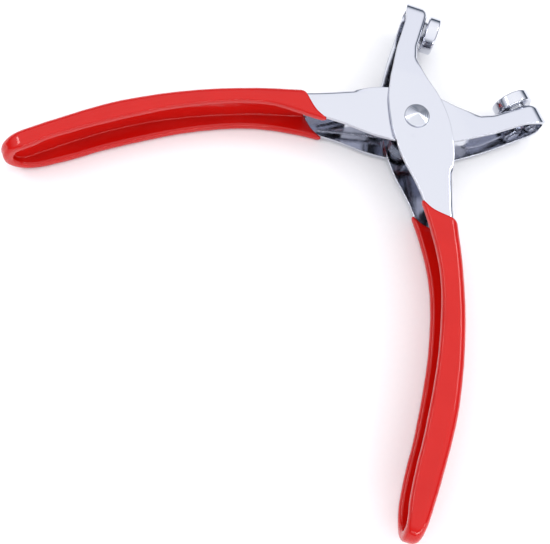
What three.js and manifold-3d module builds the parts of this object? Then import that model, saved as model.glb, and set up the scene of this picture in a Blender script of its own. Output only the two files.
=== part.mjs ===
// Hand riveter: plier-type tool that sets snap fasteners and eyelets.
// Two pressed sheet-steel channel levers of one width lap each other and cross on one rivet, with
// the outer lever's front wall in front and the inner lever's back wall behind. A torsion spring
// holds them open, each jaw carries a die, and both handles are dipped in soft PVC.
//
// Units are millimetres. The tool lies on its back on the plane Z = 0. The pivot axis is +Z through
// the origin, and the tool's own axis of symmetry is +X, with the jaws towards +X.
// Each lever is drawn in its own frame: pivot at the origin, jaw along +X, web of the jaw towards -Y.
import * as THREE from "three";
import { mergeVertices, toCreasedNormals } from "three/addons/utils/BufferGeometryUtils.js";
import Module from "manifold-3d";

const wasm = await Module();
wasm.setup();

// Angle between the two die faces as the spring holds the tool open.
const openAngle = 50;

// Levers.
const channelWidth = 16.8;
const sheetThickness = 1.5;
const wallClearance = 0.35;
const windowRadius = 24.5;

// Jaw: a straight channel with a rounded nose.
const jawWebDistance = 7.2;
const jawOpenDistance = 15.8;
const jawLength = 49;
const jawTipWidth = 12.6;
const jawTaperStart = 16;
const jawStraightStart = 26;
const jawCornerRadius = 4;
const jawOpenCornerRadius = 2.6;

// Handle: the curves of its web and of its open edge, from the tip to the jaw.
const handleTipX = -140.4;
const handleTipCornerRadius = 1.6;
const handleTipWebY = -40.2;
const handleTipDepth = 3.6;
const webCurve = [
  [-119.8, -40.9],
  [-102.5, -40.8],
  [-86.0, -39.0],
  [-68.8, -35.4],
  [-50.7, -30.0],
  [-32.6, -22.9],
  [-17.7, -18.5],
  [-7.3, -16.0],
  [3.1, -11.4],
  [11.2, -5.2],
  [16.4, 0.6],
  [22.4, 5.6],
];
const openCurve = [
  [-135.0, -35.7],
  [-129.0, -34.6],
  [-119.5, -33.9],
  [-107.7, -33.6],
  [-94.7, -32.7],
  [-80.9, -31.1],
  [-64.7, -27.9],
  [-50.6, -23.1],
  [-36.7, -15.5],
  [-25.9, -7.6],
  [-16.9, 0.6],
  [-7.7, 6.8],
  [3.2, 11.5],
  [13.4, 14.7],
];

// The front wall of the inner lever's handle is this much lower than its back wall, between the
// tip and the coat's end. The front walls of both jaws are also a little lower than their back walls.
// A ramp holds where a drop starts, is complete, starts to end and has ended.
const handleWallDrop = 2.4;
const handleDropRamp = [-136, -122, -48, -32];
const jawWallDrop = 1.3;
const jawDropRamp = [2, 16, 38, 46];

// PVC coat on the handles.
const coatThickness = 1.1;
const coatClearance = 0.25;
const coatEndDistance = 30.9;
const coatEndSlope = -4;

// Pivot rivet and what it carries.
const rivetDiameter = 5.8;
const rivetHoleClearance = 0.3;
const rivetHeadDiameter = 9;
const rivetHeadHeight = 2.3;
const rivetHeadRim = 0.45;
const rivetTailDiameter = 8.4;
const seatClearance = 0.25;
const sleeveDiameter = 8.2;

// Torsion spring between the levers.
const springWire = 1.3;
const springMostTurns = 4;
const springCoilGap = 0.2;
const springCoilClearance = 0.5;
const springLegReach = 33;

// Dies: one with a cup, one with a centre stud, on shanks held by nuts inside the jaws.
const dieDistance = 40.5;
const dieDiameter = 14;
const dieFaceGap = 2.8;
const dieChamfer = 0.5;
const dieShankDiameter = 4.6;
const dieHoleClearance = 0.3;
const washerDiameter = 8.6;
const washerThickness = 0.6;
const nutMostAcrossFlats = 7;
const nutSideClearance = 0.35;
const nutThickness = 2.6;
const cupDiameter = 5.4;
const cupDepth = 1.7;
const studDiameter = 2.8;
const studHeight = 1.5;
const studDepth = 2.4;

// Sizes that follow from the ones above.
const metalBackZ = coatThickness;
const halfWidth = channelWidth / 2;
const lap = sheetThickness + wallClearance;
const innerMidZ = metalBackZ + halfWidth;
const outerMidZ = innerMidZ + lap;
const midZ = (innerMidZ + outerMidZ) / 2;
const clearHalfWidth = halfWidth - sheetThickness - lap / 2;
const noseClearHalfWidth = jawTipWidth / 2 - sheetThickness - lap / 2;
const nutAcrossFlats = Math.min(nutMostAcrossFlats, 2 * (noseClearHalfWidth - nutSideClearance));
const outerAngle = openAngle / 2;
const innerAngle = -openAngle / 2;
const metalFrontZ = outerMidZ + halfWidth;

// ---------------------------------------------------------------- helpers

function toSolid(geometry) {
  const bare = geometry.index ? geometry.toNonIndexed() : geometry.clone();
  for (const name of Object.keys(bare.attributes)) {
    if (name !== "position") bare.deleteAttribute(name);
  }
  const merged = mergeVertices(bare, 1e-4);
  const corners = merged.index.array;
  const kept = [];
  for (let i = 0; i < corners.length; i += 3) {
    const [a, b, c] = [corners[i], corners[i + 1], corners[i + 2]];
    if (a !== b && b !== c && c !== a) kept.push(a, b, c);
  }
  return new wasm.Manifold(new wasm.Mesh({
    numProp: 3,
    vertProperties: new Float32Array(merged.attributes.position.array),
    triVerts: new Uint32Array(kept),
  }));
}

function toGeometry(solid) {
  const mesh = solid.getMesh();
  const geometry = new THREE.BufferGeometry();
  geometry.setAttribute("position", new THREE.BufferAttribute(mesh.vertProperties, 3));
  geometry.setIndex(new THREE.BufferAttribute(mesh.triVerts, 1));
  return toCreasedNormals(geometry, THREE.MathUtils.degToRad(30));
}

function polygon(points) {
  return new THREE.Shape(points.map(([x, y]) => new THREE.Vector2(x, y)));
}

// A flat outline made solid from z0 to z1.
function slab(shape, z0, z1, curveSegments = 16) {
  const geometry = new THREE.ExtrudeGeometry(shape, { depth: z1 - z0, bevelEnabled: false, curveSegments });
  geometry.translate(0, 0, z0);
  return toSolid(geometry);
}

function cylinder(radius, z0, z1, segments = 48) {
  const circle = new THREE.Shape().absarc(0, 0, radius, 0, Math.PI * 2);
  return slab(circle, z0, z1, segments);
}

// A profile of [radius, height] pairs turned about +Z.
function turned(profile, segments = 48) {
  const geometry = new THREE.LatheGeometry(profile.map(([r, z]) => new THREE.Vector2(r, z)), segments);
  geometry.rotateX(Math.PI / 2);
  return toSolid(geometry);
}

// ---------------------------------------------------------------- lever outline

// Points along a smooth curve, each moved sideways by grow, to the left of the direction of travel
// where side is 1 and to the right where it is -1.
function offsetCurve(controls, count, grow, side) {
  const curve = new THREE.SplineCurve(controls.map(([x, y]) => new THREE.Vector2(x, y)));
  return Array.from({ length: count + 1 }, (_, i) => {
    const point = curve.getPointAt(i / count);
    const tangent = curve.getTangentAt(i / count);
    return [point.x - side * tangent.y * grow, point.y + side * tangent.x * grow];
  });
}

// Points of a rounded corner from one direction to another, both in degrees.
function corner(centreX, centreY, radius, from, to, count = 5) {
  return Array.from({ length: count + 1 }, (_, i) => {
    const angle = THREE.MathUtils.degToRad(from + ((to - from) * i) / count);
    return [centreX + radius * Math.cos(angle), centreY + radius * Math.sin(angle)];
  });
}

// The side outline of a lever. Each grow value moves one side of it outwards.
function leverOutline(webGrow, openGrow, endGrow) {
  const jawRadius = Math.max(jawCornerRadius + webGrow, 0.3);
  const openRadius = openGrow > coatThickness ? 0.3 : jawOpenCornerRadius;
  const jawEnd = jawLength + endGrow;
  const webY = jawWebDistance - webGrow;
  const openY = jawOpenDistance + openGrow;
  const tipRadius = Math.max(handleTipCornerRadius + webGrow, 0.3);
  const tipX = handleTipX - endGrow;
  const tipWebY = handleTipWebY - webGrow;
  const tipOpenY = handleTipWebY + handleTipDepth + openGrow;
  return [
    ...corner(tipX + tipRadius, tipWebY + tipRadius, tipRadius, 180, 270),
    ...offsetCurve(webCurve, 44, webGrow, -1),
    [jawStraightStart + 3, webY],
    ...corner(jawEnd - jawRadius, webY + jawRadius, jawRadius, -90, 0),
    ...corner(jawEnd - openRadius, openY - openRadius, openRadius, 0, 90),
    [jawStraightStart, openY],
    ...offsetCurve(openCurve, 40, openGrow, 1).filter(([x]) => x > tipX + 0.2).reverse(),
    [tipX, tipOpenY],
  ];
}

// The lever seen from its web: half the width, with a round nose and a round handle tip.
// It is made as three overlapping slabs, the nose one with straight tapered sides.
function leverPlan(grow) {
  const half = halfWidth + grow;
  const tipHalf = jawTipWidth / 2 + grow;
  const far = 90;
  const nose = new THREE.Shape();
  nose.moveTo(jawTaperStart - 8, -half);
  nose.lineTo(jawTaperStart, -half);
  nose.lineTo(jawLength + grow - tipHalf, -tipHalf);
  nose.absarc(jawLength + grow - tipHalf, 0, tipHalf, -Math.PI / 2, Math.PI / 2, false);
  nose.lineTo(jawTaperStart, half);
  nose.lineTo(jawTaperStart - 8, half);
  const tip = new THREE.Shape();
  tip.moveTo(handleTipX + halfWidth + 10, -half);
  tip.lineTo(handleTipX + halfWidth + 10, half);
  tip.absarc(handleTipX - grow + half, 0, half, Math.PI / 2, Math.PI * 1.5, false);
  const along = (shape) => slab(shape, -far, far, 12).rotate([90, 0, 0]);
  const middle = slab(polygon([
    [handleTipX + halfWidth + 5, -half],
    [jawTaperStart - 4, -half],
    [jawTaperStart - 4, half],
    [handleTipX + halfWidth + 5, half],
  ]), -far, far).rotate([90, 0, 0]);
  return along(nose).add(along(tip)).add(middle);
}

// What lies above an open edge that is lowered along a ramp, on the front wall's side.
function aboveFrontWall(edge, drop, [start, full, ending, end]) {
  const { smoothstep } = THREE.MathUtils;
  const share = (x) => Math.min(smoothstep(x, start, full), 1 - smoothstep(x, ending, end));
  const lowered = edge.filter(([x]) => share(x) > 0).map(([x, y]) => [x, y - drop * share(x)]);
  const top = [[lowered.at(-1)[0], 40], [lowered[0][0], 40]];
  return slab(polygon([...lowered, ...top]), 0, channelWidth);
}

// The open edge from the handle to the nose, moved outwards by grow.
function openEdge(grow) {
  const jawY = jawOpenDistance + grow;
  const straight = Array.from({ length: 21 }, (_, i) => [jawStraightStart + i, jawY]);
  return [...offsetCurve(openCurve, 80, grow, 1), ...straight];
}

// A solid lever without its hollow, centred on Z = 0.
function leverBlank(webGrow, openGrow, endGrow, planGrow, drop) {
  const deep = channelWidth;
  const blank = slab(polygon(leverOutline(webGrow, openGrow, endGrow)), -deep, deep)
    .intersect(leverPlan(planGrow));
  const edge = openEdge(openGrow);
  const lowJaw = blank.subtract(aboveFrontWall(edge, jawWallDrop, jawDropRamp));
  return drop > 0 ? lowJaw.subtract(aboveFrontWall(edge, drop, handleDropRamp)) : lowJaw;
}

// The bent channel: blank less its hollow. The web is cut away inside the window radius.
function channel(dieShift, drop) {
  const t = sheetThickness;
  const openPast = 8;
  const blank = leverBlank(0, 0, 0, 0, drop);
  const windowDisc = cylinder(windowRadius, -halfWidth, halfWidth, 72);
  const hollow = slab(polygon(leverOutline(-t, openPast, -t)), -channelWidth, channelWidth)
    .add(windowDisc)
    .intersect(leverPlan(-t));
  const rivetHole = cylinder(rivetDiameter / 2 + rivetHoleClearance, -channelWidth, channelWidth);
  const dieHole = cylinder(dieShankDiameter / 2 + dieHoleClearance, 0, jawOpenDistance + 5, 32)
    .rotate([-90, 0, 0])
    .translate([dieDistance, 0, dieShift]);
  return blank.subtract(hollow).subtract(rivetHole).subtract(dieHole);
}

// The coat: a skin on every face of the handle, from the tip to a slanted dip line.
function handleCoat(drop) {
  const c = coatThickness;
  const g = coatClearance;
  const t = sheetThickness;
  const skinOutside = leverBlank(c, c, c, c, drop);
  const skinInside = slab(polygon(leverOutline(-t - c, 8, -t - c)), -channelWidth, channelWidth)
    .intersect(leverPlan(-t - c));
  const metalOutside = leverBlank(g, g, g, g, drop);
  const metalInside = slab(polygon(leverOutline(-t - g, 9, -t - g)), -channelWidth, channelWidth)
    .intersect(leverPlan(-t - g));
  const dipLine = slab(polygon([[-200, -90], [-coatEndDistance, -90], [-coatEndDistance, 90], [-200, 90]]), -30, 30)
    .rotate([0, 0, coatEndSlope]);
  return skinOutside.subtract(skinInside).subtract(metalOutside.subtract(metalInside)).intersect(dipLine);
}

// ---------------------------------------------------------------- placing

const group = new THREE.Group();

const chrome = { color: 0xd9dce6, roughness: 0.18, metalness: 1 };
const steel = { color: 0xb9bcc4, roughness: 0.3, metalness: 1 };
const redVinyl = { color: 0xd8241c, roughness: 0.25, metalness: 0 };

function addPart(name, solid, look) {
  const mesh = new THREE.Mesh(toGeometry(solid), new THREE.MeshStandardMaterial(look));
  mesh.name = name;
  group.add(mesh);
}

// From a lever's own frame to the tool: the inner lever is the mirror image of the outer one.
function onOuter(solid, z = outerMidZ) {
  return solid.rotate([0, 0, outerAngle]).translate([0, 0, z]);
}

function onInner(solid, z = innerMidZ) {
  return solid.mirror([0, 1, 0]).rotate([0, 0, innerAngle]).translate([0, 0, z]);
}

// ---------------------------------------------------------------- levers and grips

addPart("outer_lever", onOuter(channel(midZ - outerMidZ, 0)), chrome);
addPart("inner_lever", onInner(channel(midZ - innerMidZ, handleWallDrop)), chrome);
addPart("outer_grip", onOuter(handleCoat(0)), redVinyl);
addPart("inner_grip", onInner(handleCoat(handleWallDrop)), redVinyl);

// ---------------------------------------------------------------- pivot

function pivotRivet() {
  const headBase = metalFrontZ + seatClearance;
  const tailTop = metalBackZ - seatClearance;
  const headRadius = rivetHeadDiameter / 2;
  return turned([
    [0, 0],
    [rivetTailDiameter / 2 - 0.3, 0],
    [rivetTailDiameter / 2, 0.3],
    [rivetTailDiameter / 2, tailTop],
    [rivetDiameter / 2, tailTop],
    [rivetDiameter / 2, headBase],
    [headRadius, headBase],
    [headRadius, headBase + rivetHeadRim],
    [headRadius * 0.2, headBase + rivetHeadHeight - 0.12],
    [0, headBase + rivetHeadHeight],
  ]);
}

function pivotSleeve() {
  const half = clearHalfWidth - seatClearance;
  const bore = cylinder(rivetDiameter / 2 + rivetHoleClearance, -half - 1, half + 1);
  return cylinder(sleeveDiameter / 2, -half, half).subtract(bore).translate([0, 0, midZ]);
}

addPart("pivot_rivet", pivotRivet(), chrome);
addPart("pivot_sleeve", pivotSleeve(), steel);

// Whole turns of the coil, as many as fit between the walls beside it.
const springPitch = springWire + springCoilGap;
const springRoom = 2 * (clearHalfWidth - seatClearance) - springWire;
const springTurns = Math.min(springMostTurns, Math.floor(springRoom / springPitch - 0.25));

// Where a spring leg ends: beside the inner face of a handle's web, in the lever's own frame.
function springLegEnd() {
  const inset = sheetThickness + seatClearance + springWire / 2;
  const face = offsetCurve(webCurve, 400, -inset, -1);
  const miss = ([x, y]) => Math.abs(Math.hypot(x, y) - springLegReach);
  return face.reduce((best, point) => (miss(point) < miss(best) ? point : best));
}

// A straight leg, the coil round the sleeve, and a second leg, each leg a tangent of the coil.
class SpringPath extends THREE.Curve {
  constructor(legAngle, coilRadius, rise) {
    super();
    this.tangentAngle = legAngle - Math.acos(coilRadius / springLegReach);
    this.coilRadius = coilRadius;
    this.rise = rise;
    this.legLength = Math.sqrt(springLegReach ** 2 - coilRadius ** 2);
    this.sweep = 2 * this.tangentAngle + Math.PI * 2 * springTurns;
    this.coilLength = this.sweep * coilRadius;
  }

  getPoint(t, target = new THREE.Vector3()) {
    const place = t * (this.coilLength + 2 * this.legLength) - this.legLength;
    const turn = Math.min(Math.max(place / this.coilLength, 0), 1);
    const beyond = place - turn * this.coilLength;
    const angle = turn * this.sweep - this.tangentAngle;
    return target.set(
      this.coilRadius * Math.cos(angle) - beyond * Math.sin(angle),
      this.coilRadius * Math.sin(angle) + beyond * Math.cos(angle),
      midZ + this.rise * (turn - 0.5),
    );
  }
}

function openingSpring() {
  const [legX, legY] = springLegEnd();
  const legAngle = -Math.atan2(legY, legX) - THREE.MathUtils.degToRad(outerAngle);
  const coilRadius = sleeveDiameter / 2 + springCoilClearance + springWire / 2;
  const rise = springPitch * (springTurns + 0.25);
  const wire = new THREE.Shape().absarc(0, 0, springWire / 2, 0, Math.PI * 2);
  return toSolid(new THREE.ExtrudeGeometry(wire, {
    steps: 150,
    curveSegments: 5,
    bevelEnabled: false,
    extrudePath: new SpringPath(legAngle, coilRadius, rise),
  }));
}

addPart("opening_spring", openingSpring(), steel);

// ---------------------------------------------------------------- dies

// Die parts are turned about +Z with the working face down, then laid along the jaw's normal.
function onJaw(solid) {
  return solid.rotate([-90, 0, 0]).translate([dieDistance, 0, 0]);
}

const faceY = dieFaceGap / 2;
const washerOuterY = jawWebDistance - seatClearance;
const dieBackY = washerOuterY - washerThickness - seatClearance;
const webInnerY = jawWebDistance + sheetThickness;
const nutY = webInnerY + seatClearance;
const shankEndY = nutY + nutThickness + 0.7;

function dieBlank(pocket) {
  const r = dieDiameter / 2;
  const c = dieChamfer;
  return turned([
    ...pocket,
    [r - c, faceY],
    [r, faceY + c],
    [r, dieBackY - c],
    [r - c, dieBackY],
    [dieShankDiameter / 2, dieBackY],
    [dieShankDiameter / 2, shankEndY - 0.4],
    [dieShankDiameter / 2 - 0.4, shankEndY],
    [0, shankEndY],
  ]);
}

function cupDie() {
  return dieBlank([
    [0, faceY + cupDepth],
    [cupDiameter * 0.25, faceY + cupDepth * 0.88],
    [cupDiameter * 0.42, faceY + cupDepth * 0.5],
    [cupDiameter / 2, faceY],
  ]);
}

function studDie() {
  const socket = studDiameter / 2 + dieHoleClearance;
  return dieBlank([
    [0, faceY + studDepth],
    [socket, faceY + studDepth],
    [socket, faceY],
  ]);
}

function dieStud() {
  const r = studDiameter / 2;
  return turned([
    [0, faceY - studHeight],
    [r * 0.6, faceY - studHeight + r * 0.15],
    [r * 0.92, faceY - studHeight + r * 0.55],
    [r, faceY - studHeight + r],
    [r, faceY + studDepth - seatClearance],
    [0, faceY + studDepth - seatClearance],
  ], 32);
}

function dieWasher() {
  const bore = cylinder(dieShankDiameter / 2 + dieHoleClearance, 0, jawOpenDistance, 32);
  return cylinder(washerDiameter / 2, washerOuterY - washerThickness, washerOuterY).subtract(bore);
}

function dieNut() {
  const radius = nutAcrossFlats / Math.sqrt(3);
  const hexagon = polygon(corner(0, 0, radius, 0, 300, 5));
  const bore = cylinder(dieShankDiameter / 2 + dieHoleClearance, 0, jawOpenDistance + 5, 32);
  return slab(hexagon, nutY, nutY + nutThickness).subtract(bore);
}

// Both dies sit on one axis, halfway between the middles of the two channels.
addPart("cup_die", onOuter(onJaw(cupDie()), midZ), chrome);
addPart("cup_die_washer", onOuter(onJaw(dieWasher()), midZ), steel);
addPart("cup_die_nut", onOuter(onJaw(dieNut()), midZ), steel);
addPart("stud_die", onInner(onJaw(studDie()), midZ), chrome);
addPart("stud_die_pin", onInner(onJaw(dieStud()), midZ), steel);
addPart("stud_die_washer", onInner(onJaw(dieWasher()), midZ), steel);
addPart("stud_die_nut", onInner(onJaw(dieNut()), midZ), steel);

export default group;
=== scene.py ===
# %% [markdown]
# # A hand riveter with sprung jaws
# The tool is a pair of pressed steel levers that cross on one rivet. Each lever ends in a jaw that
# carries a small die, and each handle is dipped in red PVC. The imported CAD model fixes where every
# piece is; this script makes finer pieces in the same places and gives them their finishes.

# %% Load the fixed frame
import math

import bmesh
import bpy
import numpy as np
from mathutils import Matrix, Vector


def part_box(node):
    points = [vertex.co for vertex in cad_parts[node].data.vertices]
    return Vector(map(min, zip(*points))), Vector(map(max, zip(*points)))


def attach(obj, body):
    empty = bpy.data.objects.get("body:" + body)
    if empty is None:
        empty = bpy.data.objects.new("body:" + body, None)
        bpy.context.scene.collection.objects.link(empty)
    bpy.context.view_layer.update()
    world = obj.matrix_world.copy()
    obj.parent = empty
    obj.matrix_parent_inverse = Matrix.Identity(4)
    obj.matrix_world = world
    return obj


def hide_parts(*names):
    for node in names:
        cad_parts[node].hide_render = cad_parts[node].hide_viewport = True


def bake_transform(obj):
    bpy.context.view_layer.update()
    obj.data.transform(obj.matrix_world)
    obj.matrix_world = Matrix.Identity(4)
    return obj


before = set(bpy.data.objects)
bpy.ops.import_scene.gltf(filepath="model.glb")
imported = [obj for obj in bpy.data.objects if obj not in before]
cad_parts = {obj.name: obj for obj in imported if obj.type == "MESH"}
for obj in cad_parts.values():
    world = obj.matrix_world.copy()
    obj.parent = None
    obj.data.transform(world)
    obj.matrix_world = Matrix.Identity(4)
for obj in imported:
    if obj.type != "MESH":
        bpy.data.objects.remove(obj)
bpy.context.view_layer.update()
scene = bpy.context.scene
MM = 0.001

# %% [markdown]
# ## Sizes shared by every piece
# All drawing is done in millimetres in a lever's own frame, as a pressing is drawn for its tool:
# the pivot is the origin, the jaw points along +X and the open side of the channel is towards +Y.
# A piece is scaled to metres and turned into its place only at the end.

# %% Sizes of the pressings, the coat and the pivot
# A ramp is four x: where a drop in the front wall starts, is full, starts to end and has ended.
SHEET = 1.5
HALF_WIDTH = 8.4
WINDOW_RADIUS = 24.5
FOLD_RADIUS = 1.9
EDGE_RADIUS = 0.22
JAW_TAPER_START = 16.0
NOSE_CENTRE = 42.7
NOSE_HALF_WIDTH = 6.3
NOSE_FOLD = 4.0
NOSE_END = 49.0
NOSE_CORNER = 2.6
TIP_CENTRE = -132.0
TIP_FOLD = 1.6
HANDLE_DROP = 2.4
HANDLE_RAMP = (-136.0, -122.0, -48.0, -32.0)
JAW_DROP = 1.3
JAW_RAMP = (2.0, 16.0, 38.0, 46.0)
COAT = 1.1
COAT_GAP = 0.08
COAT_EDGE_RADIUS = 1.25
OPEN_ANGLE = 50.0
OUTER_MID_Z = 11.35
INNER_MID_Z = 9.5
MID_Z = (OUTER_MID_Z + INNER_MID_Z) / 2
DIE_DISTANCE = 40.5
print("one lever laps the other by", OUTER_MID_Z - INNER_MID_Z, "mm")

# %% [markdown]
# ## Two curves draw the whole lever
# Seen from the side, a lever is the band between the line of its web, which is the closed back of
# the channel, and the line of its open edges. Both rise steadily from the handle's tip to the jaw,
# so each can be kept as a height for every x. A smooth curve through a few points gives the even
# sweep that a press tool leaves. The open line ends in a small round corner at the nose.

# %% The web line and the open line
WEB_POINTS = [
    (-119.8, -40.9), (-102.5, -40.8), (-86.0, -39.0), (-68.8, -35.4), (-50.7, -30.0),
    (-32.6, -22.9), (-17.7, -18.5), (-7.3, -16.0), (3.1, -11.4), (11.2, -5.2), (16.4, 0.6),
    (22.4, 5.6),
]
OPEN_POINTS = [
    (-135.0, -35.7), (-129.0, -34.6), (-119.5, -33.9), (-107.7, -33.6), (-94.7, -32.7),
    (-80.9, -31.1), (-64.7, -27.9), (-50.6, -23.1), (-36.7, -15.5), (-25.9, -7.6), (-16.9, 0.6),
    (-7.7, 6.8), (3.2, 11.5), (13.4, 14.7),
]
JAW_WEB_Y = 7.2
JAW_OPEN_Y = 15.8
LINE_START, LINE_END = -145, 52
XS = np.arange(-145.0, 52.0, 0.1)
BLUR_REACH = 30
BLUR_SPREAD = 8.0


def smooth_curve(points, steps=30):
    """Points along a curve that passes through all the given ones."""
    p = np.array([points[0], *points, points[-1]], float)
    t = np.linspace(0, 1, steps, endpoint=False)[:, None]
    spans = []
    for a, b, c, d in zip(p, p[1:], p[2:], p[3:]):
        m0, m1 = (c - a) / 2, (d - b) / 2
        spans.append(
            (2 * t**3 - 3 * t**2 + 1) * b + (t**3 - 2 * t**2 + t) * m0
            + (3 * t**2 - 2 * t**3) * c + (t**3 - t**2) * m1
        )
    return np.vstack([*spans, p[-1:]])


def height_line(before, points, after):
    """Heights at XS, with straight ends and the corners between the stretches eased."""
    line = np.vstack([before, smooth_curve(points), after])
    y = np.interp(XS, line[:, 0], line[:, 1])
    kernel = np.exp(-0.5 * (np.arange(-BLUR_REACH, BLUR_REACH + 1) / BLUR_SPREAD) ** 2)
    padded = np.pad(y, BLUR_REACH, mode="edge")
    return np.convolve(padded, kernel / kernel.sum(), mode="valid")


web_y = height_line(
    [(LINE_START, -40.2), (-138.8, -40.2)], WEB_POINTS, [(29.0, JAW_WEB_Y), (LINE_END, JAW_WEB_Y)],
)
open_y = height_line(
    [(LINE_START, -36.8), (-140.4, -36.6)], OPEN_POINTS, [(26.0, JAW_OPEN_Y), (LINE_END, JAW_OPEN_Y)],
)
past_corner = np.clip(XS - (NOSE_END - NOSE_CORNER), 0, NOSE_CORNER)
open_y = open_y - NOSE_CORNER + np.sqrt(NOSE_CORNER**2 - past_corner**2)
web_stretch = np.sqrt(1 + np.gradient(web_y, XS) ** 2)
open_stretch = np.sqrt(1 + np.gradient(open_y, XS) ** 2)
depth = float(np.interp(-85, XS, open_y - web_y))
print("channel depth halfway along the handle:", round(depth, 1), "mm")

# %% [markdown]
# ## One cross-section of the channel
# A pressed channel is a flat web, two folds and two walls with cut edges. The section below goes
# from the middle of the web's outside, round a fold, up the wall, over its edge and back down the
# inside. Each point has an inset from the outline seen from above and a height, so the same rule
# also sweeps round the nose and the handle's tip, where the wall turns through half a circle.

# %% A half section with its web, fold, wall and rim
WEB_STEPS = 7
FOLD_STEPS = 7
WALL_STEPS = 9
RIM_STEPS = 4
EDGE_STEP, LEAST_WALL = 0.14, 0.6
LEAST_ROOM, LEAST_INNER_FOLD = 0.3, 0.5
MOST_EDGE_SHARE, MOST_ROOM_SHARE = 0.46, 0.45
SETTLING_PASSES = 4
FOLD_AT = WEB_STEPS
RIM_AT = FOLD_AT + FOLD_STEPS + WALL_STEPS
INNER_FOLD_AT = RIM_AT + 2 * RIM_STEPS + 1 + WALL_STEPS
HALF_COUNT = INNER_FOLD_AT + FOLD_STEPS + WEB_STEPS + 1


def half_width(x):
    return np.interp(x, [JAW_TAPER_START, NOSE_CENTRE], [HALF_WIDTH, NOSE_HALF_WIDTH])


def wall_steps(start, end):
    """Shares of the way up a wall, with a step close to each end so that the wall shades flat."""
    near = EDGE_STEP / np.maximum(np.abs(end - start), LEAST_WALL)
    inner = np.linspace(0, 1, WALL_STEPS - 1)
    return np.concatenate([[0.0], near + inner * (1 - 2 * near), [1.0]])


def eased_share(x, start, end):
    t = np.clip((x - start) / (end - start), 0, 1)
    return t * t * (3 - 2 * t)


def wall_drop(x, low_front):
    """How far the front wall is lowered at x. low_front is for the lever with a low handle wall."""
    handle = np.minimum(eased_share(x, *HANDLE_RAMP[:2]), 1 - eased_share(x, *HANDLE_RAMP[2:]))
    jaw = np.minimum(eased_share(x, *JAW_RAMP[:2]), 1 - eased_share(x, *JAW_RAMP[2:]))
    return JAW_DROP * jaw + (HANDLE_DROP * handle if low_front else 0)


def half_section(station, low_front, front):
    """x, y, z of the points of a front or back half section, in millimetres."""
    x0, turn, end, grow = station["x"], station["turn"], station["end"], station["grow"]
    thick = SHEET + 2 * grow
    half = half_width(x0) + grow
    edge = COAT_EDGE_RADIUS if station["coat"] else EDGE_RADIUS
    edge = min(edge, MOST_EDGE_SHARE * thick)
    end_fold = {1: NOSE_FOLD, -1: TIP_FOLD, 0: FOLD_RADIUS}[end]
    fold = FOLD_RADIUS + (end_fold - FOLD_RADIUS) * math.sin(turn) ** 2
    outer = fold + grow
    x = np.full(HALF_COUNT, x0)
    # Heights depend on x, and at the ends x depends on the inset, so a few passes settle both.
    for _ in range(SETTLING_PASSES):
        k = np.interp(x, XS, web_stretch)
        low = np.interp(x, XS, web_y) - grow * k
        inside = low + thick * k
        top = np.interp(x, XS, open_y) + grow * np.interp(x, XS, open_stretch)
        top = top - wall_drop(x, low_front) if front else top
        room = np.maximum(top - inside, LEAST_ROOM)
        inner = np.minimum(max(fold - SHEET - grow, LEAST_INNER_FOLD), MOST_ROOM_SHARE * room)
        inner_edge = np.minimum(edge, MOST_ROOM_SHARE * room)
        inset, y = np.zeros(HALF_COUNT), np.zeros(HALF_COUNT)

        web = slice(0, WEB_STEPS)
        share = np.linspace(0, 1, WEB_STEPS + 1)[:-1]
        inset[web] = half - share * (half - outer)
        y[web] = low[web]

        bend = slice(FOLD_AT, FOLD_AT + FOLD_STEPS + 1)
        a = np.linspace(0, math.pi / 2, FOLD_STEPS + 1)
        inset[bend] = outer * (1 - np.sin(a))
        y[bend] = low[bend] + k[bend] * outer * (1 - np.cos(a))

        wall = slice(FOLD_AT + FOLD_STEPS, RIM_AT + 1)
        start, stop = low[wall] + k[wall] * outer, top[wall] - edge
        y[wall] = start + (stop - start) * wall_steps(start[0], stop[0])

        rim = slice(RIM_AT, RIM_AT + RIM_STEPS + 1)
        b = np.linspace(0, math.pi / 2, RIM_STEPS + 1)
        inset[rim] = edge * (1 - np.cos(b))
        y[rim] = top[rim] - edge * (1 - np.sin(b))

        rim = slice(RIM_AT + RIM_STEPS + 1, RIM_AT + 2 * RIM_STEPS + 2)
        inset[rim] = thick - inner_edge[rim] * (1 - np.sin(b))
        y[rim] = top[rim] - inner_edge[rim] * (1 - np.cos(b))

        wall = slice(RIM_AT + 2 * RIM_STEPS + 1, INNER_FOLD_AT + 1)
        inset[wall] = thick
        start, stop = top[wall] - inner_edge[wall], inside[wall] + k[wall] * inner[wall]
        y[wall] = start + (stop - start) * wall_steps(start[0], stop[0])

        bend = slice(INNER_FOLD_AT, INNER_FOLD_AT + FOLD_STEPS + 1)
        inset[bend] = thick + inner[bend] * (1 - np.cos(a))
        y[bend] = inside[bend] + k[bend] * inner[bend] * (1 - np.sin(a))

        web = slice(INNER_FOLD_AT + FOLD_STEPS, HALF_COUNT)
        last = inset[INNER_FOLD_AT + FOLD_STEPS]
        inset[web] = last + np.linspace(0, 1, WEB_STEPS + 1) * (half - last)
        y[web] = inside[web]

        if station["window"] > 0:
            cut_window(inset, y, low, k * outer, thick, inside + k * inner, station["window"])
        x = x0 + end * (half - inset) * math.sin(turn)
        if station["warp"]:
            x = x + station["warp"] * (dip_line(y, top) - COAT_END_X)
    z = (half - inset) * math.cos(turn)
    return x, y, z


print("points round a whole section:", 2 * HALF_COUNT - 2)

# %% [markdown]
# ## The window at the crossing
# Where the levers cross, the web is punched out so that the other lever's walls can swing through.
# The fold then runs out into a plain cut edge. Each point of the fold slides to its place on that
# edge over a few millimetres, which gives the punched window rounded corners.

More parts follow.
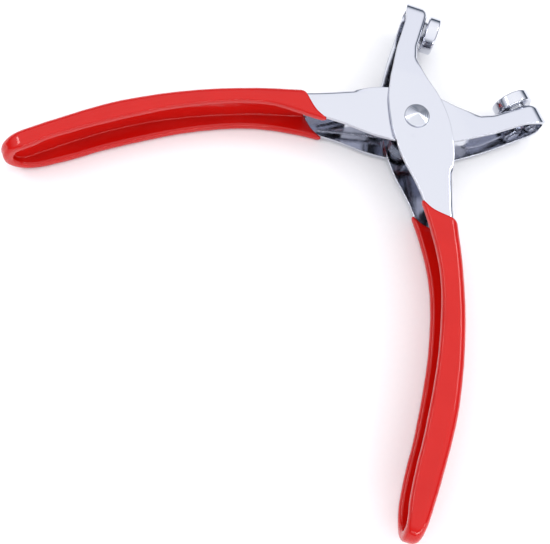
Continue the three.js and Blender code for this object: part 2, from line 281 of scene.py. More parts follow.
# %% The run-out of a fold into a cut edge
def cut_window(inset, y, low, fold_top, thick, inner_top, share):
    e = EDGE_RADIUS
    outer = slice(FOLD_AT, FOLD_AT + FOLD_STEPS + 1)
    rise = (fold_top[FOLD_AT] - e) * np.linspace(0, 1, FOLD_STEPS - 1)[1:]
    climb = np.concatenate([[0, 0.3 * e, e], e + rise])
    tuck = np.concatenate([[e, 0.3 * e], np.zeros(FOLD_STEPS - 1)])
    inset[outer] += share * (tuck - inset[outer])
    y[outer] += share * (low[outer] + climb - y[outer])
    inner = slice(INNER_FOLD_AT, INNER_FOLD_AT + FOLD_STEPS + 1)
    height = inner_top[INNER_FOLD_AT] - low[INNER_FOLD_AT]
    drop = np.concatenate([height + (e - height) * np.linspace(0, 1, FOLD_STEPS - 1), [0.3 * e, 0]])
    tuck = np.concatenate([np.full(FOLD_STEPS - 1, thick), [thick - 0.3 * e, thick - e]])
    inset[inner] += share * (tuck - inset[inner])
    y[inner] += share * (low[inner] + drop - y[inner])


window_xs = XS[np.hypot(XS, web_y) < WINDOW_RADIUS]
WINDOW_START, WINDOW_END = float(window_xs[0]), float(window_xs[-1])
print("the window runs from x", round(WINDOW_START, 1), "to", round(WINDOW_END, 1))

# %% [markdown]
# ## From sections to a closed skin
# Stations are closer together where the shape changes quickly. A front half section and a mirrored
# back one make a ring, and rings are joined with four-sided faces. Points that fall together at the
# nose and at the tip are merged, which closes both ends, and the normals are made to point outwards.

# %% Rings, faces and placing
def make_station(x, turn=0.0, end=0, grow=0.0, window=0.0, warp=0.0, coat=False):
    return {
        "x": x, "turn": turn, "end": end, "grow": grow, "window": window, "warp": warp, "coat": coat,
    }


def ring(station, inner):
    front = np.stack(half_section(station, inner, True), 1)
    back = np.stack(half_section(station, inner, False), 1)[1:-1][::-1] * [1, 1, -1]
    return np.vstack([front, back])


def placed(points, inner):
    """From a lever's own frame in millimetres to the tool's frame in metres."""
    p = np.array(points, float).reshape(-1, 3)
    angle = math.radians(-OPEN_ANGLE / 2 if inner else OPEN_ANGLE / 2)
    if inner:
        p = p * [1, -1, 1]
    c, s = math.cos(angle), math.sin(angle)
    mid_z = INNER_MID_Z if inner else OUTER_MID_Z
    turned = np.stack([c * p[:, 0] - s * p[:, 1], s * p[:, 0] + c * p[:, 1], p[:, 2] + mid_z], 1)
    return turned * MM


def new_piece(name, points, faces, smooth_angle=40):
    """A mesh piece at the origin: doubles merged, loose points dropped, normals outwards."""
    mesh = bpy.data.meshes.new(name)
    mesh.from_pydata([tuple(p) for p in points], [], faces)
    piece = bpy.data.objects.new(name, mesh)
    scene.collection.objects.link(piece)
    tidy_mesh(mesh, smooth_angle)
    return piece


def tidy_mesh(mesh, smooth_angle):
    bm = bmesh.new()
    bm.from_mesh(mesh)
    bmesh.ops.delete(bm, geom=[v for v in bm.verts if not v.link_faces], context="VERTS")
    bmesh.ops.remove_doubles(bm, verts=bm.verts, dist=2e-6)
    bmesh.ops.dissolve_degenerate(bm, edges=bm.edges, dist=1e-7)
    bmesh.ops.recalc_face_normals(bm, faces=bm.faces)
    open_edges = sum(1 for e in bm.edges if len(e.link_faces) != 2)
    volume = bm.calc_volume(signed=True)
    if volume < 0:
        bmesh.ops.reverse_faces(bm, faces=bm.faces)
    bm.to_mesh(mesh)
    bm.free()
    mesh.shade_smooth()
    mesh.set_sharp_from_angle(angle=math.radians(smooth_angle))
    mm3 = abs(volume) * 1e9
    print(f"{mesh.name}: {len(mesh.polygons)} faces, {open_edges} open edges, {mm3:.0f} mm3")


def ring_faces(rows, count, skip=lambda row, column: False):
    faces = []
    for i in range(rows - 1):
        for c in range(count):
            if not skip(i, c):
                d = (c + 1) % count
                a = i * count
                faces.append((a + c, a + d, a + count + d, a + count + c))
    return faces


# %% [markdown]
# ## The two pressed levers
# Both levers come from the same drawing, one turned over. They lap: the outer lever's front wall is
# in front and the inner lever's back wall is behind. The front walls are a little lower than the
# back ones along the jaws, and lower still along the inner lever's handle. A skin made ring by ring
# was chosen over cutting solids because its rows follow the sweep of the sheet, so reflections run
# cleanly.

# %% Stations along a lever and the skin of each lever
def spread(start, end, step):
    return list(np.linspace(start, end, max(2, int(round(abs(end - start) / step)) + 1)))


END_TURNS = [math.radians(a) for a in (90, 82, 73, 64, 55, 46, 37, 28, 19, 10)]
RUNOUT = 6.0
HANDLE_BEND_X = -30
JAW_BEND_X = 30
LONG_STEP, HANDLE_STEP, JAW_STEP = 1.3, 0.75, 1.1
WINDOW_STEP, RUNOUT_STEP = 0.7, 0.4


def lever_stations():
    xs = spread(TIP_CENTRE, HANDLE_BEND_X, LONG_STEP)[1:]
    xs += spread(HANDLE_BEND_X, WINDOW_START, HANDLE_STEP)[1:]
    stations = [make_station(TIP_CENTRE, a, -1) for a in END_TURNS]
    stations += [make_station(x) for x in [TIP_CENTRE] + xs]
    first = len(stations) - 1
    inside = spread(WINDOW_START, WINDOW_START + RUNOUT, RUNOUT_STEP)[1:]
    inside += spread(WINDOW_START + RUNOUT, WINDOW_END - RUNOUT, WINDOW_STEP)[1:]
    inside += spread(WINDOW_END - RUNOUT, WINDOW_END, RUNOUT_STEP)[1:-1]
    for x in inside:
        t = min((x - WINDOW_START) / RUNOUT, (WINDOW_END - x) / RUNOUT, 1)
        stations.append(make_station(x, window=math.sqrt(1 - (1 - t) ** 2)))
    last = len(stations)
    xs = spread(WINDOW_END, JAW_BEND_X, WINDOW_STEP) + spread(JAW_BEND_X, NOSE_CENTRE, JAW_STEP)[1:]
    stations += [make_station(x) for x in xs]
    stations += [make_station(NOSE_CENTRE, a, 1) for a in reversed(END_TURNS)]
    return stations, first, last


def lever_skin(name, inner):
    stations, first, last = lever_stations()
    rings = [ring(s, inner) for s in stations]
    count = len(rings[0])
    mirror = lambda c: (count - c) % count
    outer_web = set(range(WEB_STEPS)) | set(range(mirror(WEB_STEPS), count))
    inner_start = INNER_FOLD_AT + FOLD_STEPS
    inner_web = set(range(inner_start, mirror(inner_start)))

    def skip(i, c):
        return first <= i < last and (c in outer_web or c in inner_web)

    faces = ring_faces(len(rings), count, skip)
    for side in (lambda c: c, mirror):
        a, b = side(WEB_STEPS), side(inner_start)
        for i in range(first, last):
            low, high = i * count, (i + 1) * count
            faces.append((low + a, low + b, high + b, high + a))
    outer_run = [mirror(c) for c in range(WEB_STEPS, 0, -1)] + list(range(0, WEB_STEPS + 1))
    inner_run = [mirror(c) for c in range(inner_start, inner_start + WEB_STEPS)]
    inner_run += list(range(inner_start + WEB_STEPS, inner_start - 1, -1))
    for i in (first, last):
        for a, b, c, d in zip(outer_run, outer_run[1:], inner_run[1:], inner_run):
            faces.append(tuple(i * count + v for v in (a, b, c, d)))
    return new_piece(name, placed(np.vstack(rings), inner), faces)


outer_lever = lever_skin("outer_lever_pressing", inner=False)
inner_lever = lever_skin("inner_lever_pressing", inner=True)

# %% [markdown]
# ## Holes and the punch mark
# Holes are drilled after the sheet is shaped, as in the real press line. A boolean cut is the plain
# way to do that on a closed skin. The little centre-punch mark near the rivet is cut by a cone.

# %% Drill the levers
def turned_points(profile, segments):
    """Points and faces of a closed profile of (radius, height) turned about the height axis."""
    angles = np.linspace(0, 2 * math.pi, segments, endpoint=False)
    points = [(r * math.cos(a), r * math.sin(a), h) for r, h in profile for a in angles]
    faces = ring_faces(len(profile), segments)
    return points, faces


def cutter(profile, matrix, segments=64):
    points, faces = turned_points(profile, segments)
    piece = new_piece("cutter", [matrix @ Vector(p) * MM for p in points], faces)
    return piece


def cut(piece, tool):
    modifier = piece.modifiers.new("cut", "BOOLEAN")
    modifier.operation, modifier.solver, modifier.object = "DIFFERENCE", "EXACT", tool
    piece = bake(piece)
    bpy.data.objects.remove(tool)
    return piece


def bake(piece):
    """Keeps what the modifiers make as plain mesh and takes the modifiers away."""
    bpy.context.view_layer.update()
    evaluated = piece.evaluated_get(bpy.context.evaluated_depsgraph_get())
    mesh = bpy.data.meshes.new_from_object(evaluated)
    mesh.name = piece.name
    piece.modifiers.clear()
    piece.data = mesh
    return piece


def lever_turn(inner):
    """The turn from a lever's own frame to the tool's frame at the dies' height, in millimetres."""
    turn = Matrix.Rotation(math.radians(-OPEN_ANGLE / 2 if inner else OPEN_ANGLE / 2), 4, "Z")
    flip = Matrix.Diagonal((1, -1, 1, 1)) if inner else Matrix.Identity(4)
    return Matrix.Translation((0, 0, MID_Z)) @ turn @ flip


# Each profile is (radius, height): the height is along the pivot, or outwards along the die's axis.
RIVET_HOLE = [(0, -3), (3.2, -3), (3.2, 25), (0, 25)]
SHANK_HOLE = [(0, 4), (2.6, 4), (2.6, 12), (0, 12)]
PUNCH = [(0, 19.4), (0.9, 20.25), (0, 20.25)]
PUNCH_PLACE = (-6.8, -4.2, 0)
ON_JAW = Matrix.Translation((DIE_DISTANCE, 0, 0)) @ Matrix.Rotation(-math.pi / 2, 4, "X")
for lever, inner in ((outer_lever, False), (inner_lever, True)):
    cut(lever, cutter(RIVET_HOLE, Matrix.Identity(4)))
    cut(lever, cutter(SHANK_HOLE, lever_turn(inner) @ ON_JAW))
cut(outer_lever, cutter(PUNCH, Matrix.Translation(PUNCH_PLACE), 24))
for lever in (outer_lever, inner_lever):
    tidy_mesh(lever.data, 40)

# %% [markdown]
# ## The dipped handles
# A handle is dipped tip first in liquid PVC and baked, so the coat lies on every face of the
# channel and rounds over the cut edges. It stops on a flat line where the
# handle met the liquid, and surface tension draws it up into a point along each edge. The coat is
# made by the same sections as the lever, grown by its own thickness, with a second skin on the
# metal side and a rounded lip that joins the two.

# %% Skin of a dipped coat
COAT_END_X = -32.0
COAT_LIP = 1.5
COAT_STRAIGHT_END = -44
DIP_TURN = math.radians(4)
DIP_DISTANCE = 31.4
TONGUE = 2.2
TONGUE_FADE = 1.5
DIP_MARGIN = 0.4
LIP_LEAST = 0.1
SAG_SHARE = 0.13


def dip_line(y, top):
    """x of the end of the coat at each height, with the tongue drawn up along the open edge."""
    plain = (-DIP_DISTANCE + math.sin(DIP_TURN) * y) / math.cos(DIP_TURN)
    return plain + TONGUE * np.exp(-np.maximum(top - y, 0) / TONGUE_FADE) - DIP_MARGIN


def coat_stations(metal_side):
    xs = spread(TIP_CENTRE, COAT_STRAIGHT_END, LONG_STEP)
    xs += spread(COAT_STRAIGHT_END, COAT_END_X - COAT_LIP, 0.8)[1:]
    lip = [COAT_END_X - COAT_LIP * v for v in (0.85, 0.65, 0.45, 0.28, 0.15, 0.06, 0.0)]
    stations = [make_station(TIP_CENTRE, a, -1, coat=True) for a in END_TURNS]
    stations += [make_station(x, coat=True) for x in xs + lip]
    for s in stations:
        left = min(max((COAT_END_X - s["x"]) / COAT_LIP, 0), 1)
        shape = math.sqrt(max(1 - (1 - left) ** 2, 0))
        outside = COAT_GAP + LIP_LEAST + (COAT - COAT_GAP - LIP_LEAST) * shape
        s["grow"] = COAT_GAP if metal_side else outside
        s["warp"] = float(np.interp(s["x"], [-60, COAT_END_X], [0, 1]))
    return stations


def sag(points):
    """Slow swellings left by the draining liquid, as a share of the thickness."""
    x, y, z = points.T
    slow = np.sin(x * 0.21 + 0.9 * z) + 0.7 * np.sin(x * 0.47 - y * 0.6 + 1.3)
    slow = slow + 0.5 * np.sin(x * 0.93 + z * 1.7)
    return 0.5 + slow / 4.4


def coat_skin(name, inner):
    metal = np.array([ring(s, inner) for s in coat_stations(True)])
    outside = np.array([ring(s, inner) for s in coat_stations(False)])
    swell = 1 - SAG_SHARE * sag(metal.reshape(-1, 3)).reshape(metal.shape[:2])[..., None]
    outside = metal + (outside - metal) * swell
    rows, count = outside.shape[:2]
    faces = ring_faces(rows, count)
    faces += [tuple(v + rows * count for v in reversed(f)) for f in faces]
    a, b = (rows - 1) * count, (2 * rows - 1) * count
    faces += [(a + c, a + (c + 1) % count, b + (c + 1) % count, b + c) for c in range(count)]
    points = np.vstack([outside.reshape(-1, 3), metal.reshape(-1, 3)])
    return new_piece(name, placed(points, inner), faces, smooth_angle=75)


outer_grip = coat_skin("outer_grip_dip_coat", inner=False)
inner_grip = coat_skin("inner_grip_dip_coat", inner=True)

# %% [markdown]
# ## Turned pieces
# The rivet, the dies and their washers come off a lathe. A turned piece needs only its profile,
# with every corner eased by a small radius, because real edges are never sharp and the eased edge
# is what catches the light.

# %% A turned piece with eased corners
def eased(profile, radius):
    """The profile with each corner that is off the axis replaced by a short arc."""
    out = []
    count = len(profile)
    for i, point in enumerate(profile):
        p = np.array(point, float)
        before, after = np.array(profile[i - 1], float), np.array(profile[(i + 1) % count], float)
        if p[0] < 1e-6:
            out.append(p)
            continue
        u, v = before - p, after - p
        reach = min(radius, 0.45 * np.linalg.norm(u), 0.45 * np.linalg.norm(v))
        start, stop = p + u / np.linalg.norm(u) * reach, p + v / np.linalg.norm(v) * reach
        for t in np.linspace(0, 1, 5):
            out.append((1 - t) ** 2 * start + 2 * t * (1 - t) * p + t * t * stop)
    return out


def turned_piece(name, profile, matrix, ease=0.15, closed=False, segments=96):
    profile = eased(profile, ease)
    if closed:
        profile = profile + profile[:1]
    points, faces = turned_points(profile, segments)
    return new_piece(name, [matrix @ Vector(p) * MM for p in points], faces, smooth_angle=50)


def top_of(node):
    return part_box(node)[1].z / MM


RIVET_TOP = top_of("pivot_rivet")
HEAD_BASE = OUTER_MID_Z + HALF_WIDTH + 0.02
HEAD_RADIUS = 4.5
HEAD_RIM = 0.5
SHAFT_RADIUS = 2.9
TAIL_RADIUS = 4.2
TAIL_TOP = 1.08
# Points near both ends of the cone's slope keep it straight when it is shaded smooth.
CONE_SLOPE = [
    (r, RIVET_TOP - (RIVET_TOP - HEAD_BASE - HEAD_RIM) * r / HEAD_RADIUS) for r in (4.2, 3.9, 0.7, 0.35)
]
rivet = turned_piece("pivot_rivet_turned", [
    (0, 0), (TAIL_RADIUS, 0), (TAIL_RADIUS, TAIL_TOP), (SHAFT_RADIUS, TAIL_TOP),
    (SHAFT_RADIUS, HEAD_BASE), (HEAD_RADIUS, HEAD_BASE), (HEAD_RADIUS, HEAD_BASE + HEAD_RIM),
    *CONE_SLOPE, (0, RIVET_TOP),
], Matrix.Identity(4), ease=0.14)
sleeve = turned_piece("pivot_sleeve_turned", [
    (3.2, -5.7), (4.1, -5.7), (4.1, 5.7), (3.2, 5.7),
], Matrix.Translation((0, 0, MID_Z)), closed=True)

# %% [markdown]
# ## The dies, washers and nuts
# Each die is a short plated cylinder on a shank. The shank passes through a washer and the web of
# the jaw, and a small nut holds it from inside. One die has a cup, the other a pressed-in stud.

# %% Turn the dies and cut the nuts
FACE = 1.4
DIE_BACK = 6.1
BORE = 2.42
WASHER = [(BORE, 6.32), (4.3, 6.32), (4.3, 7.16), (BORE, 7.16)]
DIE_RADIUS = 7.0
DIE_EDGE = 0.5
SHANK = [
    (DIE_RADIUS - DIE_EDGE, FACE), (DIE_RADIUS, FACE + DIE_EDGE), (DIE_RADIUS, DIE_BACK - DIE_EDGE),
    (DIE_RADIUS - DIE_EDGE, DIE_BACK), (4.1, DIE_BACK + 0.01), (4.1, 6.3), (2.3, 6.3), (2.3, 12.25),
    (0, 12.25),
]
CUP = [(0, 3.1), (1.2, 2.95), (2.2, 2.3), (2.7, FACE)]
SOCKET = [(0, 3.8), (1.45, 3.8), (1.45, FACE)]
STUD = [(0, -0.1), (0.85, -0.02), (1.28, 0.5), (1.4, 1.2), (1.4, 3.6), (0, 3.6)]
NUT_LOW, NUT_HIGH, NUT_FLATS = 8.75, 11.55, 7.0
CONE_RADIUS, CONE_SLANT, BORE_EDGE = 3.32, 1.75, 0.25


def nut_piece(name, matrix):
    """A chamfered hexagon with a bore: at each height the smaller of a hexagon and a cone."""
    angles = np.radians(np.arange(0, 360, 5))
    flats = (NUT_FLATS / 2) / np.cos((angles + math.pi / 6) % (math.pi / 3) - math.pi / 6)
    steps = (0, 0.12, 0.25, 0.4)
    rings = [(NUT_HIGH - s, s) for s in steps] + [(NUT_LOW + s, s) for s in reversed(steps)]
    mouth = BORE + BORE_EDGE
    rows = [[(mouth, NUT_HIGH)] * len(angles)]
    rows += [[(min(f, CONE_RADIUS + CONE_SLANT * s), h) for f in flats] for h, s in rings]
    rows += [[(mouth, NUT_LOW)] * len(angles), [(BORE, NUT_LOW + BORE_EDGE)] * len(angles)]
    rows += [[(BORE, NUT_HIGH - BORE_EDGE)] * len(angles), rows[0]]
    points = [
        (r * math.cos(a), r * math.sin(a), h) for row in rows for (r, h), a in zip(row, angles)
    ]
    faces = ring_faces(len(rows), len(angles))
    return new_piece(name, [matrix @ Vector(p) * MM for p in points], faces, smooth_angle=28)


die_pieces = {}
for name, inner, pocket in (("cup_die", False, CUP), ("stud_die", True, SOCKET)):
    matrix = lever_turn(inner) @ ON_JAW
    die_pieces[name] = turned_piece(name + "_turned", pocket + SHANK, matrix, ease=0.3)
    die_pieces[name + "_washer"] = turned_piece(
        name + "_washer_turned", WASHER, matrix, ease=0.12, closed=True,
    )
    die_pieces[name + "_nut"] = nut_piece(name + "_nut_hexagon", matrix)
pin_matrix = lever_turn(True) @ ON_JAW
die_pieces["stud_die_pin"] = turned_piece("stud_die_pin_turned", STUD, pin_matrix, ease=0.1)

# %% [markdown]
# ## The opening spring
# A torsion spring is one wire: a leg, a few turns round the sleeve and a second leg. The path of
# its middle is worked out point by point, and a Geometry Nodes tree sweeps a round wire along it,
# which keeps the wire's thickness a single named input.

# %% Path of the spring wire
WIRE = 1.3
COIL_RADIUS = 5.25
LEG_REACH = 33.0
COIL_PITCH = 1.5
COIL_RISE = COIL_PITCH * 4.25
COIL_TURNS = 4
LEG_CLEARANCE = 0.25
LEG_WINDOW = (-40, -20)
LEG_STEPS, COIL_STEPS = 24, 240


def spring_path():
    inset = SHEET + LEG_CLEARANCE + WIRE / 2
    inside = web_y + inset * web_stretch
    near = (XS < LEG_WINDOW[1]) & (XS > LEG_WINDOW[0])
    best = np.argmin(np.abs(np.hypot(XS, inside) - LEG_REACH) + 99 * ~near)
    leg_angle = -math.atan2(inside[best], XS[best]) - math.radians(OPEN_ANGLE / 2)
    tangent = leg_angle - math.acos(COIL_RADIUS / LEG_REACH)
    sweep = 2 * tangent + 2 * math.pi * COIL_TURNS
    leg, coil = math.sqrt(LEG_REACH**2 - COIL_RADIUS**2), sweep * COIL_RADIUS
    points = []
    places = np.concatenate([
        np.linspace(-leg, 0, LEG_STEPS)[:-1], np.linspace(0, coil, COIL_STEPS),
        np.linspace(coil, coil + leg, LEG_STEPS)[1:],
    ])
    for place in places:
        turn = min(max(place / coil, 0), 1)
        beyond, angle = place - turn * coil, turn * sweep - tangent
        c, s = math.cos(angle), math.sin(angle)
        x, y = COIL_RADIUS * c - beyond * s, COIL_RADIUS * s + beyond * c
        points.append((x, y, MID_Z + COIL_RISE * (turn - 0.5)))
    return points


path = spring_path()
print("spring wire length:", round(sum(math.dist(a, b) for a, b in zip(path, path[1:]))), "mm")

# %% [markdown]
# ## One helper for node trees
# Every tree, for a finish or for geometry, is built with the same small function. It adds a node,
# sets its inputs by name and links what should be linked, so a tree reads like a recipe.

# %% Helper that adds a node
def add(tree, kind, inputs=None, **settings):
    """Adds a node. An input given as a socket is linked, and any other value is set."""
    node = tree.nodes.new(kind)
    for key, value in settings.items():
        setattr(node, key, value)
    for key, value in (inputs or {}).items():
        socket = node.inputs[key]
        if isinstance(value, bpy.types.NodeSocket):
            tree.links.new(value, socket)
        else:
            socket.default_value = value
    return node


def linear(hex_colour):
    """An sRGB hex colour as linear RGBA."""
    parts = [int(hex_colour[i:i + 2], 16) / 255 for i in (1, 3, 5)]
    return tuple(v / 12.92 if v <= 0.04045 else ((v + 0.055) / 1.055) ** 2.4 for v in parts) + (1.0,)


print("mid grey #808080 in linear light:", [round(v, 3) for v in linear("#808080")])

# %% [markdown]
# ## Chrome-plated pressed steel
# Bright chrome over nickel on a cold-rolled pressing: a mirror with a faint blue cast. It is never
# quite flat, because the press leaves slow waves and the plate a fine orange peel, and handling
# leaves hairline scratches. The waves bend reflections, and the scratches break up the gloss. The
# rivet's cone is left as the lathe cut it: fine rings round its axis, drawn coarse enough to show.

# %% Build the chrome finish
def new_finish(name):
    material = bpy.data.materials.new(name)
    material.use_nodes = True
    tree = material.node_tree
    tree.nodes.clear()
    return material, tree, add(tree, "ShaderNodeTexCoord").outputs["Object"]


def close_finish(tree, shader):
    add(tree, "ShaderNodeOutputMaterial", {"Surface": shader.outputs[0]})


def plated(name, colour, rough_low, rough_high, wave, scratch, lathe=0.0):
    material, tree, place = new_finish(name)
    stretched = add(tree, "ShaderNodeMapping", {
        "Vector": place, "Rotation": (0, 0, 0.5), "Scale": (1, 9, 1),
    })
    slow = add(tree, "ShaderNodeTexNoise", {"Vector": place, "Scale": 90.0, "Detail": 1.5})
    peel = add(tree, "ShaderNodeTexNoise", {"Vector": place, "Scale": 900.0, "Detail": 2.0})
    hair = add(tree, "ShaderNodeTexNoise", {
        "Vector": stretched.outputs[0], "Scale": 420.0, "Detail": 6.0,
    })
    lines = add(tree, "ShaderNodeMapRange", {
        "Value": hair.outputs["Fac"], "From Min": 0.62, "From Max": 0.72, "To Min": 0.0, "To Max": 1.0,
    })
    rough = add(tree, "ShaderNodeMapRange", {
        "Value": peel.outputs["Fac"], "From Min": 0.3, "From Max": 0.75,
        "To Min": rough_low, "To Max": rough_high,
    })
    waves = add(tree, "ShaderNodeBump", {
        "Height": slow.outputs["Fac"], "Strength": wave, "Distance": 0.0004,
    })
    peeled = add(tree, "ShaderNodeBump", {
        "Height": peel.outputs["Fac"], "Strength": 0.5 * wave, "Distance": 0.00002,
        "Normal": waves.outputs[0],
    })
    marks = add(tree, "ShaderNodeBump", {
        "Height": lines.outputs[0], "Strength": scratch, "Distance": 0.00002,
        "Normal": peeled.outputs[0],
    })
    rings = add(tree, "ShaderNodeTexWave", {
        "Vector": place, "Scale": 420.0, "Distortion": 0.6, "Detail": 2.0, "Detail Scale": 3.0,
    }, wave_type="RINGS", rings_direction="Z")
    turned = add(tree, "ShaderNodeBump", {
        "Height": rings.outputs["Fac"], "Strength": lathe, "Distance": 0.00004,
        "Normal": marks.outputs[0],
    })
    shader = add(tree, "ShaderNodeBsdfPrincipled", {
        "Base Color": linear(colour), "Metallic": 1.0, "Roughness": rough.outputs[0],
        "Normal": turned.outputs[0],
    })
    close_finish(tree, shader)
    return material


chrome = plated("chrome_plated_pressed_steel", "#CBCDD6", 0.05, 0.12, 0.09, 0.1)
turned_chrome = plated("chrome_plated_turned_steel", "#D0D2DA", 0.05, 0.13, 0.12, 0.2)
rivet_chrome = plated(
    "chrome_plated_lathe_turned_rivet", "#C6C9D2", 0.08, 0.16, 0.1, 0.2, lathe=0.8,
)
print("made", chrome.name, turned_chrome.name, "and", rivet_chrome.name)

# %% [markdown]
# ## Plain bright steel
# The spring wire, washers, nuts and stud are drawn or turned steel with only a thin zinc wash.
# They are greyer and duller than the chrome, with fine marks left by the die or the lathe tool.

# %% Build the bright steel finish
bright_steel = plated("zinc_washed_bright_steel", "#A9ACB4", 0.18, 0.34, 0.15, 0.6)
print("made", bright_steel.name)

# %% [markdown]
# ## PVC plastisol dip
# Plastisol is PVC powder in plasticiser, baked into a soft, glossy skin. Its colour goes deep
# into it, so thick beads look a little richer than thin walls. The top is wavy like slow honey,
# with specks of trapped air, and it reflects only the brightest parts of its surroundings.

# %% Build the dipped coat finish
def dipped(name, deep, thin):
    material, tree, place = new_finish(name)
    slow = add(tree, "ShaderNodeTexNoise", {"Vector": place, "Scale": 75.0, "Detail": 1.0})
    fine = add(tree, "ShaderNodeTexNoise", {"Vector": place, "Scale": 700.0, "Detail": 3.0})
    specks = add(tree, "ShaderNodeTexVoronoi", {"Vector": place, "Scale": 380.0})
    dots = add(tree, "ShaderNodeMapRange", {
        "Value": specks.outputs["Distance"], "From Min": 0.04, "From Max": 0.12,
        "To Min": 1.0, "To Max": 0.0,
    })
    tint = add(tree, "ShaderNodeMix", {
        "Factor": slow.outputs["Fac"], 6: linear(deep), 7: linear(thin),
    }, data_type="RGBA")
    rough = add(tree, "ShaderNodeMapRange", {
        "Value": fine.outputs["Fac"], "From Min": 0.3, "From Max": 0.75, "To Min": 0.08, "To Max": 0.17,
    })
    waves = add(tree, "ShaderNodeBump", {
        "Height": slow.outputs["Fac"], "Strength": 0.3, "Distance": 0.0009,
    })
    ripples = add(tree, "ShaderNodeBump", {
        "Height": fine.outputs["Fac"], "Strength": 0.25, "Distance": 0.00005,
        "Normal": waves.outputs[0],
    })
    pits = add(tree, "ShaderNodeBump", {
        "Height": dots.outputs[0], "Strength": 0.2, "Distance": 0.00004,
        "Normal": ripples.outputs[0],
    })
    shader = add(tree, "ShaderNodeBsdfPrincipled", {
        "Base Color": tint.outputs[2], "Roughness": rough.outputs[0], "Normal": pits.outputs[0],
        "IOR": 1.53, "Specular IOR Level": 0.3, "Subsurface Weight": 0.1, "Subsurface Scale": 0.001,
        "Subsurface Radius": (1.0, 0.12, 0.08),
    })
    close_finish(tree, shader)
    return material


red_pvc = dipped("red_pvc_plastisol_dip", "#BE0D09", "#CA150E")
print("made", red_pvc.name)

# %% [markdown]
# ## Sweep the spring wire with Geometry Nodes
# Mesh to Curve turns the path into a curve, and Curve to Mesh sweeps a circle along it. The wire's
# diameter is a named input, set by its socket's identifier.

# %% Spring tree and spring piece
def wire_tree(material):
    tree = bpy.data.node_groups.new("wire_along_a_path", "GeometryNodeTree")
    face = tree.interface
    face.new_socket("Path", in_out="INPUT", socket_type="NodeSocketGeometry")
    diameter = face.new_socket("Wire diameter", in_out="INPUT", socket_type="NodeSocketFloat")
    face.new_socket("Wire", in_out="OUTPUT", socket_type="NodeSocketGeometry")
    start = add(tree, "NodeGroupInput").outputs
    radius = add(tree, "ShaderNodeMath", {0: start["Wire diameter"], 1: 0.5}, operation="MULTIPLY")
    circle = add(tree, "GeometryNodeCurvePrimitiveCircle", {
        "Resolution": 20, "Radius": radius.outputs[0],
    })
    curve = add(tree, "GeometryNodeMeshToCurve", {"Mesh": start["Path"]})
    sweep = add(tree, "GeometryNodeCurveToMesh", {
        "Curve": curve.outputs[0], "Profile Curve": circle.outputs[0], "Fill Caps": True,
    })
    smooth = add(tree, "GeometryNodeSetShadeSmooth", {
        "Geometry": sweep.outputs[0], "Shade Smooth": True,
    })
    real = add(tree, "GeometryNodeRealizeInstances", {"Geometry": smooth.outputs[0]})
    done = add(tree, "GeometryNodeSetMaterial", {"Geometry": real.outputs[0], "Material": material})
    add(tree, "NodeGroupOutput", {"Wire": done.outputs[0]})
    return tree, diameter.identifier


spring_mesh = bpy.data.meshes.new("opening_spring_wire")
links = [(i, i + 1) for i in range(len(path) - 1)]
spring_mesh.from_pydata([Vector(p) * MM for p in path], links, [])
spring = bpy.data.objects.new("opening_spring_wire", spring_mesh)
scene.collection.objects.link(spring)
tree, diameter_socket = wire_tree(bright_steel)
modifier = spring.modifiers.new("wire", "NODES")
modifier.node_group = tree
modifier[diameter_socket] = WIRE * MM
bake(spring)
tidy_mesh(spring.data, 60)

# %% [markdown]
# ## Give every piece its finish and its body
# A piece takes the place of its CAD node and rides on the body that node belongs to. The spring
# has one leg in each handle, and it is put on neither body.

# %% Finishes and bodies
def dress(piece, material, node, body):
    piece.data.materials.clear()
    piece.data.materials.append(material)
    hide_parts(node)
    if body:
        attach(piece, body)


dress(outer_lever, chrome, "outer_lever", "outer_half")
dress(inner_lever, chrome, "inner_lever", "inner_half")
dress(outer_grip, red_pvc, "outer_grip", "outer_half")
dress(inner_grip, red_pvc, "inner_grip", "inner_half")
dress(rivet, rivet_chrome, "pivot_rivet", "outer_half")
dress(sleeve, bright_steel, "pivot_sleeve", "outer_half")
for node, piece in die_pieces.items():
    plated_die = node in ("cup_die", "stud_die")
    body = "outer_half" if node.startswith("cup") else "inner_half"
    if plated_die:
        dress(piece, turned_chrome, node, body)
    else:
        dress(piece, bright_steel, node, body)
dress(spring, bright_steel, "opening_spring", None)
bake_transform(spring)
print("dressed", len(die_pieces) + 7, "pieces")

# %% [markdown]
# ## Camera
# The tool is seen from above the handles, a little off square, from about a third of a metre.
# The camera's matrix is written out from its own right, up and backward directions.

# %% Set the camera
camera_data = bpy.data.cameras.new("camera")
camera_data.lens = 58.9
camera_data.sensor_width = 36.0
camera_data.clip_start = 0.01
camera = bpy.data.objects.new("camera", camera_data)
scene.collection.objects.link(camera)
CAMERA_PLACE = Vector((-0.16421, -0.04995, 0.30201))
CAMERA_BACK = Vector((-0.28623, -0.1532, 0.94584)).normalized()
CAMERA_RIGHT = Vector((0.68303, -0.72491, 0.08928))
CAMERA_RIGHT = (CAMERA_RIGHT - CAMERA_BACK * CAMERA_RIGHT.dot(CAMERA_BACK)).normalized()
CAMERA_UP = CAMERA_BACK.cross(CAMERA_RIGHT)
camera.matrix_world = Matrix.Translation(CAMERA_PLACE) @ Matrix(
    (CAMERA_RIGHT, CAMERA_UP, CAMERA_BACK)
).transposed().to_4x4()
scene.camera = camera
print("camera looks down at", round(math.degrees(math.asin(CAMERA_BACK.z))), "degrees")

# %% [markdown]
# ## Studio
# Chrome shows nothing but what surrounds it. A white cap overhead makes the flat walls pale, and a
# darker band near the floor gives the insides of the channels their depth. Two soft boxes overhead
# add the highlights on the beads, and a low one lights the insides of the channels. The floor is
# plain and pale. The camera sees a plain pale ground instead of the sky.

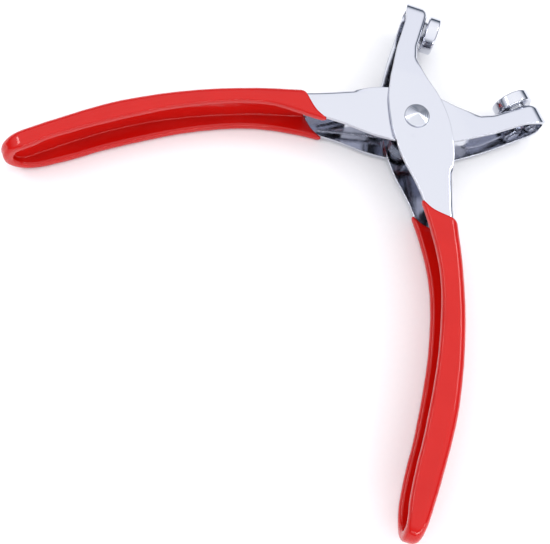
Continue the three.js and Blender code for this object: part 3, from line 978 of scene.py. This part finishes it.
# %% Floor, sky and soft boxes
floor_mesh = bpy.data.meshes.new("floor")
FLOOR_REACH, FLOOR_Z = 3, -0.0003
corners = [(-1, -1), (1, -1), (1, 1), (-1, 1)]
floor_points = [(FLOOR_REACH * x, FLOOR_REACH * y, FLOOR_Z) for x, y in corners]
floor_mesh.from_pydata(floor_points, [], [(0, 1, 2, 3)])
floor = bpy.data.objects.new("floor", floor_mesh)
scene.collection.objects.link(floor)
paper, tree, place = new_finish("matt_white_paper")
grain = add(tree, "ShaderNodeTexNoise", {"Vector": place, "Scale": 600.0, "Detail": 2.0})
tone = add(tree, "ShaderNodeMix", {
    "Factor": grain.outputs["Fac"], 6: linear("#FBFBFC"), 7: linear("#FEFEFF"),
}, data_type="RGBA")
shader = add(tree, "ShaderNodeBsdfPrincipled", {
    "Base Color": tone.outputs[2], "Roughness": 0.9, "Specular IOR Level": 0.0,
})
close_finish(tree, shader)
floor.data.materials.append(paper)

world = bpy.data.worlds.new("studio")
scene.world = world
world.use_nodes = True
tree = world.node_tree
tree.nodes.clear()
direction = add(tree, "ShaderNodeTexCoord").outputs["Generated"]
height = add(tree, "ShaderNodeSeparateXYZ", {"Vector": direction})
sky = add(tree, "ShaderNodeValToRGB", {"Fac": height.outputs["Z"]})
SKY = ((0.0, "#39434F"), (0.25, "#58616E"), (0.6, "#F2F3F8"), (1.0, "#F6F7FC"))
SKY_STRENGTH = 1.38
for position, colour in SKY:
    stop = sky.color_ramp.elements.new(position)
    stop.color = linear(colour)
sky.color_ramp.elements.remove(sky.color_ramp.elements[0])
sky.color_ramp.elements.remove(sky.color_ramp.elements[-1])
seen = add(tree, "ShaderNodeLightPath")
lit = add(tree, "ShaderNodeBackground", {"Color": sky.outputs[0], "Strength": SKY_STRENGTH})
shown = add(tree, "ShaderNodeBackground", {"Color": linear("#F2F3F6"), "Strength": 1.0})
both = add(tree, "ShaderNodeMixShader", {
    0: seen.outputs["Is Camera Ray"], 1: lit.outputs[0], 2: shown.outputs[0],
})
add(tree, "ShaderNodeOutputWorld", {"Surface": both.outputs[0]})


def soft_box(name, place, size, watts):
    light = bpy.data.lights.new(name, "AREA")
    light.shape = "RECTANGLE"
    light.size, light.size_y = size
    light.energy = watts
    lamp = bpy.data.objects.new(name, light)
    lamp.location = place
    lamp.rotation_euler = (-Vector(place)).to_track_quat("-Z", "Y").to_euler()
    scene.collection.objects.link(lamp)
    return lamp


soft_box("soft_box_left", (-0.45, 0.65, 0.8), (0.5, 0.12), 1.9)
soft_box("soft_box_right", (0.65, -0.35, 0.75), (0.5, 0.12), 1.6)
soft_box("soft_box_low", (-0.35, -0.8, 0.16), (1.0, 0.08), 2.4)
scene.view_settings.view_transform = "Standard"
